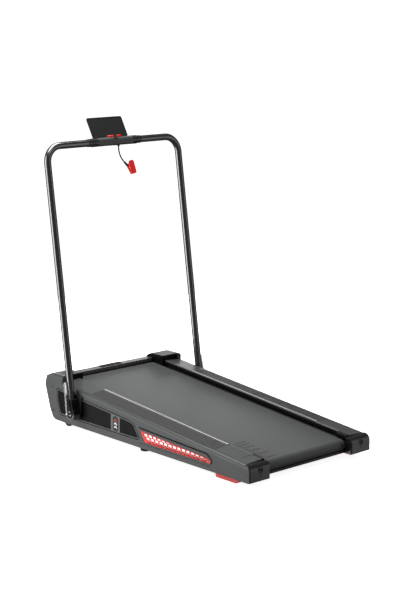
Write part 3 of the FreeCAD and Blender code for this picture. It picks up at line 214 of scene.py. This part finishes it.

# %% [markdown]
# ## Dark windows and the lit strip
# The side windows are matt black panels. A painted shadow darkens them towards the handrail's pivot, where
# the leg and its bracket cast their shade, and their recessed gaps are painted black as shade. Behind the red
# grille lies a pale diffuser whose lower edge is painted dark red as shade, where the lowest cells of the
# grille lie in shadow. These painted shades follow the place on the part, so they are mixed by coordinate.

# %% Windows, badge, boots and diffuser
PIVOT = (0.0, 343.1 * MM, 78.0 * MM)
# Where the painted shadow of the leg and its bracket begins on the windows, and where it is full.
LEG_SHADOW_FROM, LEG_SHADOW_FULL = 255 * MM, 318 * MM
FIELD_FOOT, FIELD_FACE = 278.4 * MM, 279.0 * MM
BADGE_PRINT_FACE = 280.3 * MM
TOP_CHEVRON_FROM, RED_TIP_FROM = 88 * MM, 138 * MM
RIM_INNER, RIM_FULL = 17 * MM, 18 * MM
RIM_TOP, RIM_LOW = 2 * MM, -6 * MM
OPAL_FROM, OPAL_FULL = 53 * MM, 58 * MM


def window_panel_finish():
    """Polycarbonate: charcoal fields with a painted shadow that turns them black near the pivot, and black
    painted shade in the gaps.
    """
    material, tree, place = start("polycarbonate_painted_shadow")
    split = add(tree, "SeparateXYZ", {"Vector": place})
    painted_leg_shadow = add(tree, "MapRange", {
        "Value": split.outputs["Y"], "From Min": LEG_SHADOW_FROM, "From Max": LEG_SHADOW_FULL,
    }, interpolation_type="SMOOTHSTEP")
    side = add(tree, "Math", {0: split.outputs["X"]}, operation="ABSOLUTE")
    raised = add(tree, "MapRange", {"Value": side, "From Min": FIELD_FOOT, "From Max": FIELD_FACE})
    specks = add(tree, "TexNoise", {"Vector": place, "Scale": 1 / (1.2 * MM)})
    clouds = add(tree, "TexNoise", {"Vector": place, "Scale": 1 / (50 * MM)})
    panel = add(tree, "Mix", {
        "Factor": clouds, "A": linear("#0E0E0E"), "B": linear("#141413"),
    }, data_type="RGBA")
    # Painted shadow: the fields turn black towards the pivot, where the leg and its bracket shade them.
    field = add(tree, "Mix", {"Factor": painted_leg_shadow, "A": panel, "B": linear("#030303")}, data_type="RGBA")
    # Painted shade: the gaps below the raised fields are near black, as shade in a recess.
    colour = add(tree, "Mix", {"Factor": raised, "A": linear("#020202"), "B": field}, data_type="RGBA")
    gloss = add(tree, "MapRange", {"Value": specks, "To Min": 0.5, "To Max": 0.6})
    surface(tree, {"Base Color": colour, "Roughness": gloss, "Specular IOR Level": 0.1}, specks, 0.02 * MM)
    return material


def badge_finish():
    """Polished black badge: its raised chevrons are printed white, and the top one and the front tips red."""
    material, tree, place = start("abs_printed_badge")
    split = add(tree, "SeparateXYZ", {"Vector": place})
    side = add(tree, "Math", {0: split.outputs["X"]}, operation="ABSOLUTE")
    printed = add(tree, "Math", {0: side, 1: BADGE_PRINT_FACE}, operation="GREATER_THAN")
    top = add(tree, "Math", {0: split.outputs["Z"], 1: TOP_CHEVRON_FROM}, operation="GREATER_THAN")
    tip = add(tree, "Math", {0: split.outputs["Y"], 1: RED_TIP_FROM}, operation="GREATER_THAN")
    red = add(tree, "Math", {0: top, 1: tip}, operation="MAXIMUM")
    print_colour = add(tree, "Mix", {"Factor": red, "A": linear("#F2F2F2"), "B": linear("#C81E1A")},
                       data_type="RGBA")
    specks = add(tree, "TexNoise", {"Vector": place, "Scale": 1 / (2 * MM)})
    gloss = add(tree, "MapRange", {"Value": specks, "To Min": 0.16, "To Max": 0.24})
    colour = add(tree, "Mix", {
        "Factor": printed, "A": linear("#0E0F0F"), "B": print_colour,
    }, data_type="RGBA")
    surface(tree, {"Base Color": colour, "Roughness": gloss}, specks, 0.004 * MM)
    return material


def boot_finish():
    """Polished black boot whose lower rim is satin grey, as a clamped disc shows round the pivot."""
    material, tree, place = start("abs_pivot_boot")
    offset = add(tree, "VectorMath", {0: place, 1: PIVOT}, operation="SUBTRACT")
    flat = add(tree, "VectorMath", {0: offset, 1: (0, 1, 1)}, operation="MULTIPLY")
    reach = add(tree, "VectorMath", {0: flat}, operation="LENGTH").outputs["Value"]
    rim = add(tree, "MapRange", {"Value": reach, "From Min": RIM_INNER, "From Max": RIM_FULL})
    height = add(tree, "SeparateXYZ", {"Vector": offset}).outputs["Z"]
    low = add(tree, "MapRange", {"Value": height, "From Min": RIM_TOP, "From Max": RIM_LOW})
    grey = add(tree, "Math", {0: rim, 1: low}, operation="MULTIPLY")
    specks = add(tree, "TexNoise", {"Vector": place, "Scale": 1 / (1.2 * MM)})
    gloss = add(tree, "MapRange", {"Value": grey, "To Min": 0.2, "To Max": 0.38})
    colour = add(tree, "Mix", {
        "Factor": grey, "A": linear("#0C0D0D"), "B": linear("#565857"),
    }, data_type="RGBA")
    surface(tree, {"Base Color": colour, "Roughness": gloss}, specks, 0.01 * MM, 0.6 * MM)
    return material


def diffuser_finish():
    """Opal polystyrene: white, with a painted dark red shade along its lower edge, where the lowest red cells
    of the grille lie in shadow.
    """
    material, tree, place = start("polystyrene_opal")
    height = add(tree, "SeparateXYZ", {"Vector": place}).outputs["Z"]
    lit = add(tree, "MapRange", {"Value": height, "From Min": OPAL_FROM, "From Max": OPAL_FULL})
    clouds = add(tree, "TexNoise", {"Vector": place, "Scale": 1 / (8 * MM)})
    opal = add(tree, "Mix", {
        "Factor": clouds, "A": linear("#F4F0EE"), "B": linear("#FFFFFF"),
    }, data_type="RGBA")
    # Painted shade: below OPAL_FROM the diffuser turns dark red, as the shaded walls of the lowest cells.
    colour = add(tree, "Mix", {"Factor": lit, "A": linear("#7A1410"), "B": opal}, data_type="RGBA")
    surface(tree, {
        "Base Color": colour, "Roughness": 0.5, "Emission Color": colour, "Emission Strength": 0.8,
    })
    return material


def shaded_inner_finish(name, dark, light, roughness, shade_from, shade_to):
    """Satin charcoal ABS with a painted shade: black inwards of a line beside the belt, where the inner faces
    lie in shade, and its reflections are weakened there.
    """
    material, tree, place = start(name)
    across = add(tree, "SeparateXYZ", {"Vector": place}).outputs["X"]
    side = add(tree, "Math", {0: across}, operation="ABSOLUTE")
    outside = add(tree, "MapRange", {"Value": side, "From Min": shade_from, "From Max": shade_to})
    clouds = add(tree, "TexNoise", {"Vector": place, "Scale": 1 / (60 * MM), "Detail": 3.0})
    grain = add(tree, "TexNoise", {"Vector": place, "Scale": 1 / (1.0 * MM)})
    satin = add(tree, "Mix", {"Factor": clouds, "A": linear(dark), "B": linear(light)}, data_type="RGBA")
    # Painted shade: inwards of the line the colour is black, as the shaded inner faces.
    colour = add(tree, "Mix", {"Factor": outside, "A": linear("#080808"), "B": satin}, data_type="RGBA")
    shine = add(tree, "MapRange", {"Value": outside, "To Min": 0.08, "To Max": 0.5})
    look = {"Base Color": colour, "Roughness": roughness, "Specular IOR Level": shine}
    surface(tree, look, grain, 0.03 * MM, 0.6 * MM)
    return material


# The inner faces of the rails and of the front caps are painted black as shade.
FINISHES["rail_plastic"] = shaded_inner_finish(
    "abs_rail_painted_inner_shade", "#363838", "#3E3F3F", 0.42, 199.6 * MM, 201.2 * MM,
)
FINISHES["window_black"] = window_panel_finish()
FINISHES["diffuser_white"] = diffuser_finish()
BADGE = badge_finish()
BOOT = boot_finish()
FRONT_CAP = shaded_inner_finish("abs_front_cap_painted_inner_shade", "#3A3C3C", "#424343", 0.38, 262 * MM, 264 * MM)
print("windows, badge, boots and diffuser ready")

# %% [markdown]
# ## Rubber
# Rubber is moulded too, but it is soft and full of carbon black, so it is matt and its highlights are wide.
# The teeth of the tread are painted pale as a highlight on their ends, and the strip between them is painted
# darker as shade.

# %% Rubbers
RAIL_SLOPE = math.tan(math.radians(5.3))
RAIL_CROWN = 5 / 66
TOOTH_ROOT = 148.2 * MM
TOOTH_RELIEF = 0.5 * MM
TOOTH_END, TOOTH_FULL = 212 * MM, 210.5 * MM
FINISHES["rubber_black"] = moulded("rubber_carbon_black", "#151515", "#202020", 0.7, 1.2 * MM, 0.06 * MM)
FINISHES["red_rubber"] = moulded("rubber_red", "#EE3A33", "#F8483F", 0.5, 1.4 * MM, 0.04 * MM)


def tread_finish():
    """Tread rubber: grey-black with a fine mottle; the tall teeth by the belt carry a painted pale highlight,
    and the strip between them a painted darker shade.
    """
    material, tree, place = start("rubber_tread")
    specks = add(tree, "TexNoise", {"Vector": place, "Scale": 1 / (1.6 * MM), "Detail": 3.0})
    clouds = add(tree, "TexNoise", {"Vector": place, "Scale": 1 / (40 * MM)})
    base = add(tree, "Mix", {
        "Factor": clouds, "A": linear("#2C2D2D"), "B": linear("#353636"),
    }, data_type="RGBA")
    worn = add(tree, "MapRange", {"Value": specks, "From Min": 0.5, "From Max": 0.75, "To Max": 0.6})
    colour = add(tree, "Mix", {"Factor": worn, "A": base, "B": linear("#4C4D4C")}, data_type="RGBA")
    across = add(tree, "SeparateXYZ", {"Vector": place})
    side = add(tree, "Math", {0: across.outputs["X"]}, operation="ABSOLUTE")
    by_belt = add(tree, "MapRange", {"Value": side, "From Min": TOOTH_END, "From Max": TOOTH_FULL})
    slope = add(tree, "Math", {0: across.outputs["Y"], 1: -RAIL_SLOPE, 2: across.outputs["Z"]},
                operation="MULTIPLY_ADD")
    height = add(tree, "Math", {0: side, 1: RAIL_CROWN, 2: slope}, operation="MULTIPLY_ADD")
    above = add(tree, "MapRange", {
        "Value": height, "From Min": TOOTH_ROOT, "From Max": TOOTH_ROOT + TOOTH_RELIEF,
    })
    # Painted highlight on the tops of the teeth, and painted shade on the strip between them.
    tooth_highlight = add(tree, "Math", {0: by_belt, 1: above}, operation="MULTIPLY")
    gap_shade = add(tree, "Math", {0: by_belt, 1: tooth_highlight}, operation="SUBTRACT")
    dark = add(tree, "Mix", {"Factor": gap_shade, "A": colour, "B": linear("#1C1D1D")}, data_type="RGBA")
    final = add(tree, "Mix", {"Factor": tooth_highlight, "A": dark, "B": linear("#C4C6C5")}, data_type="RGBA")
    surface(tree, {"Base Color": final, "Roughness": 0.52}, specks, 0.12 * MM, 0.4 * MM)
    return material


FINISHES["tread_rubber"] = tread_finish()
print("rubbers ready")

# %% [markdown]
# ## Metals and paint
# The frame is powder-coated steel, whose thick coat has a slight orange peel. The handrail is stoved
# enamel, which is smoother and shines like glass. The axles are bright turned steel, whose marks run round
# the axis, and the clamping levers are chromed. A bare metal takes its colour from its reflections, so its
# base colour is bright.

# %% Metals and coated metals


def metal(name, colour, roughness, grain, depth, stretch=(1, 1, 1)):
    """A bare metal with fine marks from its making, drawn out along the axes whose stretch is small."""
    material, tree, place = start(name)
    drawn = add(tree, "Mapping", {"Vector": place, "Scale": stretch})
    marks = add(tree, "TexNoise", {"Vector": drawn, "Scale": 1 / grain, "Detail": 4.0})
    gloss = add(tree, "MapRange", {"Value": marks, "To Min": roughness * 0.7, "To Max": roughness * 1.4})
    surface(tree, {"Base Color": linear(colour), "Metallic": 1.0, "Roughness": gloss}, marks, depth, 0.3 * MM)
    return material


FINISHES["painted_steel_black"] = moulded(
    "powder_coat_black", "#121313", "#181919", 0.36, 2.2 * MM, 0.04 * MM,
)
FINISHES["tube_enamel"] = moulded(
    "stoved_enamel_black", "#090A0A", "#0D0E0E", 0.2, 4 * MM, 0.004 * MM, edge=0.0, inputs={"IOR": 2.1},
)
FINISHES["bolt_black"] = moulded("black_oxide_steel", "#222324", "#2B2C2D", 0.3, 0.6 * MM, 0.02 * MM)
FINISHES["bearing_steel"] = metal("turned_steel", "#B9BBBD", 0.28, 0.8 * MM, 0.01 * MM, (1, 0.1, 0.1))
FINISHES["roller_steel"] = metal("zinc_plated_steel", "#A9ACAF", 0.38, 2 * MM, 0.01 * MM, (1, 0.1, 0.1))
FINISHES["motor_can"] = metal("galvanised_steel", "#8D9093", 0.45, 6 * MM, 0.02 * MM)
FINISHES["controller_aluminium"] = metal(
    "extruded_aluminium", "#B4B6B8", 0.4, 1 * MM, 0.02 * MM, (0.05, 1, 1),
)
FINISHES["chrome"] = metal("chrome_plate", "#E4E5E6", 0.16, 12 * MM, 0.001 * MM)
print("finishes so far:", len(FINISHES))

# %% [markdown]
# ## The walking belt and the board
# The belt is woven polyester with a PVC face. The face is pressed with a fine diamond pattern for grip,
# which shows as a faint weave and softens the gloss. Two sets of slanting waves cross to make the diamonds.
# The real pattern is about 2 mm wide and is drawn at 6 mm, because a finer one would not show from a few
# metres away.

# %% Belt, board and braid
DIAMOND_WIDTH = 6 * MM
DIAMOND_SLANT = math.radians(32)
WAVES_PER_METRE = math.pi / 10


def belt_finish():
    """PVC belt: charcoal grey, pressed diamonds, and a slight polish down the middle where feet land."""
    material, tree, place = start("pvc_belt_diamond")
    waves = []
    for turn in (DIAMOND_SLANT, -DIAMOND_SLANT):
        turned = add(tree, "Mapping", {"Vector": place, "Rotation": (0, 0, turn)})
        waves.append(add(tree, "TexWave", {"Vector": turned, "Scale": WAVES_PER_METRE / DIAMOND_WIDTH}))
    diamonds = add(tree, "Math", {0: waves[0], 1: waves[1]}, operation="MULTIPLY")
    weave = add(tree, "TexNoise", {"Vector": place, "Scale": 1 / (1.5 * MM), "Detail": 3.0})
    relief = add(tree, "Math", {0: weave, 1: 0.35, 2: diamonds}, operation="MULTIPLY_ADD")
    across = add(tree, "SeparateXYZ", {"Vector": place}).outputs["X"]
    side = add(tree, "Math", {0: across}, operation="ABSOLUTE")
    middle = add(tree, "MapRange", {
        "Value": side, "From Min": 40 * MM, "From Max": 170 * MM, "To Min": 1.0, "To Max": 0.0})
    clouds = add(tree, "TexNoise", {"Vector": place, "Scale": 1 / (90 * MM), "Detail": 3.0})
    base = add(tree, "Mix", {
        "Factor": clouds, "A": linear("#3C3E3D"), "B": linear("#434544"),
    }, data_type="RGBA")
    polished = add(tree, "Mix", {"Factor": middle, "A": base, "B": linear("#484A49")}, data_type="RGBA")
    crests = add(tree, "MapRange", {"Value": diamonds, "From Min": 0.35, "From Max": 0.85, "To Max": 0.5})
    colour = add(tree, "Mix", {"Factor": crests, "A": polished, "B": linear("#242625")}, data_type="RGBA")
    gloss = add(tree, "MapRange", {"Value": weave, "To Min": 0.46, "To Max": 0.56})
    surface(tree, {"Base Color": colour, "Roughness": gloss}, relief, 0.16 * MM)
    return material


def braid_finish():
    """Nylon braid: crossing strands that follow the cord, drawn on its own length and round it."""
    material, tree, _ = start("nylon_braid")
    wrap = add(tree, "TexCoord").outputs["UV"]
    strands = []
    for slant in (1, -1):
        turned = add(tree, "Mapping", {
            "Vector": wrap, "Scale": (60, 8 * slant, 1), "Rotation": (0, 0, slant * 0.6),
        })
        strands.append(add(tree, "TexWave", {"Vector": turned, "Scale": 0.5}))
    braid = add(tree, "Math", {0: strands[0], 1: strands[1]}, operation="MAXIMUM")
    colour = add(tree, "Mix", {
        "Factor": braid, "A": linear("#080808"), "B": linear("#1C1C1D"),
    }, data_type="RGBA")
    surface(tree, {"Base Color": colour, "Roughness": 0.55, "Sheen Weight": 0.2}, braid, 0.2 * MM)
    return material


FINISHES["running_belt"] = belt_finish()
FINISHES["deck_board"] = moulded("film_faced_board", "#0C0B0B", "#161413", 0.5, 2 * MM, 0.05 * MM)
FINISHES["cord_black"] = braid_finish()

for part in NODES.values():
    slot_name = part.material_slots[0].material.name.split(".")[0]
    part.material_slots[0].material = FINISHES[slot_name]
lanyard.data.materials.append(FINISHES["cord_black"])
NODES["side_badges"].material_slots[0].material = BADGE
NODES["pivot_boots"].material_slots[0].material = BOOT
for cap_name in ("front_cap_left", "front_cap_right"):
    NODES[cap_name].material_slots[0].material = FRONT_CAP
print("finishes given to", len(NODES), "parts")

# %% [markdown]
# ## The starting marks on the belt
# Near its rear left corner the belt carries a small printed scale: six strokes across the belt, further
# apart towards the rear, each with a longer hook than the one before. Print is a thin film, so each stroke
# is a flat strip a tenth of a millimetre thick, laid on the belt and tilted with it.

# %% Belt marks
MARKS = [(-330, 0), (-350, 7), (-373, 12.5), (-402, 17), (-436, 21), (-473, 22)]
MARK_LEFT, MARK_RIGHT, MARK_WIDTH = -155.0, -105.0, 6.5
BELT_AT_ORIGIN = 114.45 * MM
INK_THICKNESS = 0.1 * MM
mark_mesh = bmesh.new()
for y, hook in MARKS:
    strips = [((MARK_LEFT + MARK_RIGHT) / 2, y, MARK_RIGHT - MARK_LEFT, MARK_WIDTH)]
    if hook:
        strips.append((MARK_LEFT + MARK_WIDTH / 2, y + (MARK_WIDTH + hook) / 2, MARK_WIDTH, hook))
    for x_mid, y_mid, x_size, y_size in strips:
        strip = bmesh.ops.create_grid(mark_mesh, x_segments=6, y_segments=6, size=0.5)["verts"]
        bmesh.ops.scale(mark_mesh, vec=(x_size * MM, y_size * MM, 1), verts=strip)
        bmesh.ops.translate(mark_mesh, vec=(x_mid * MM, y_mid * MM, 0), verts=strip)
bmesh.ops.solidify(mark_mesh, geom=mark_mesh.faces[:], thickness=-INK_THICKNESS)
for vert in mark_mesh.verts:
    vert.co.z += BELT_AT_ORIGIN + vert.co.y * RAIL_SLOPE
mark_data = bpy.data.meshes.new("belt_marks")
mark_mesh.to_mesh(mark_data)
mark_mesh.free()
belt_marks = bpy.data.objects.new("belt_marks", mark_data)
bpy.context.scene.collection.objects.link(belt_marks)
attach(belt_marks, "base")
ink = moulded("ink_black", "#0B0C0C", "#111212", 0.5, 1.5 * MM, 0.02 * MM, edge=0.0)
belt_marks.data.materials.append(ink)
print("belt marks:", len(MARKS), "strokes")

# %% [markdown]
# ## The studio
# The floor and the surroundings are plain and pale. Large softboxes are what glossy black parts show, so
# their size and place matter more than their power: one stands on the walker's left and draws the bright
# line down each leg, one hangs overhead for the belt and the crossbar, and one low behind the nose gives
# the pale sheen at the front. A strip behind the walker lines the crossbar, and a dim panel on the right
# keeps the dark side of each leg readable. The floor is lit but sends no light back, as if the base stood
# on a light table.

# %% Studio
FLOOR_RADIUS = 2.6
floor_mesh = bmesh.new()
bmesh.ops.create_circle(floor_mesh, cap_ends=True, segments=96, radius=FLOOR_RADIUS)
floor_data = bpy.data.meshes.new("floor")
floor_mesh.to_mesh(floor_data)
floor_mesh.free()
floor = bpy.data.objects.new("floor", floor_data)
floor.visible_diffuse = False
floor.visible_glossy = False
floor.visible_shadow = False
bpy.context.scene.collection.objects.link(floor)
floor_paint, tree, _ = start("floor_paint")
surface(tree, {"Base Color": linear("#F2F2F2"), "Roughness": 0.9, "Emission Color": linear("#FFFFFF"),
               "Emission Strength": 0.9})
floor.data.materials.append(floor_paint)

world = bpy.data.worlds.new("studio")
bpy.context.scene.world = world
world.use_nodes = True
world.node_tree.nodes.clear()
rays = add(world.node_tree, "LightPath").outputs["Is Camera Ray"]
brightness = add(world.node_tree, "MapRange", {"Value": rays, "To Min": 0.16, "To Max": 1.1})
sky = add(world.node_tree, "Background", {"Color": linear("#FFFFFF"), "Strength": brightness})
add(world.node_tree, "OutputWorld", {"Surface": sky})


def softbox(name, place, aim, width, height, watts, spread=math.pi):
    """A rectangular area light that faces a point; a small spread keeps its light in a beam."""
    data = bpy.data.lights.new(name, "AREA")
    data.spread = spread
    data.shape = "RECTANGLE"
    data.size, data.size_y, data.energy = width, height, watts
    light = bpy.data.objects.new(name, data)
    light.location = place
    light.rotation_euler = (Vector(place) - Vector(aim)).to_track_quat("Z", "Y").to_euler()
    light.visible_camera = False
    bpy.context.scene.collection.objects.link(light)


softbox("overhead", (-0.2, 0.6, 2.9), (0.0, 0.0, 0.0), 2.6, 1.8, 112)
softbox("left", (-2.2, 1.4, 0.6), (-0.2, 0.9, 0.5), 1.8, 3.2, 34, math.radians(100))
softbox("behind_nose", (1.9, 2.5, 0.75), (0.0, 0.4, 0.15), 1.5, 0.7, 11)
softbox("strip_behind", (-0.4, -2.2, 3.4), (0.0, 0.47, 1.0), 2.4, 0.7, 13)
softbox("right", (2.2, -2.8, 0.4), (0.0, -0.3, 0.4), 1.6, 3.0, 12)
print("studio: floor and 5 softboxes")
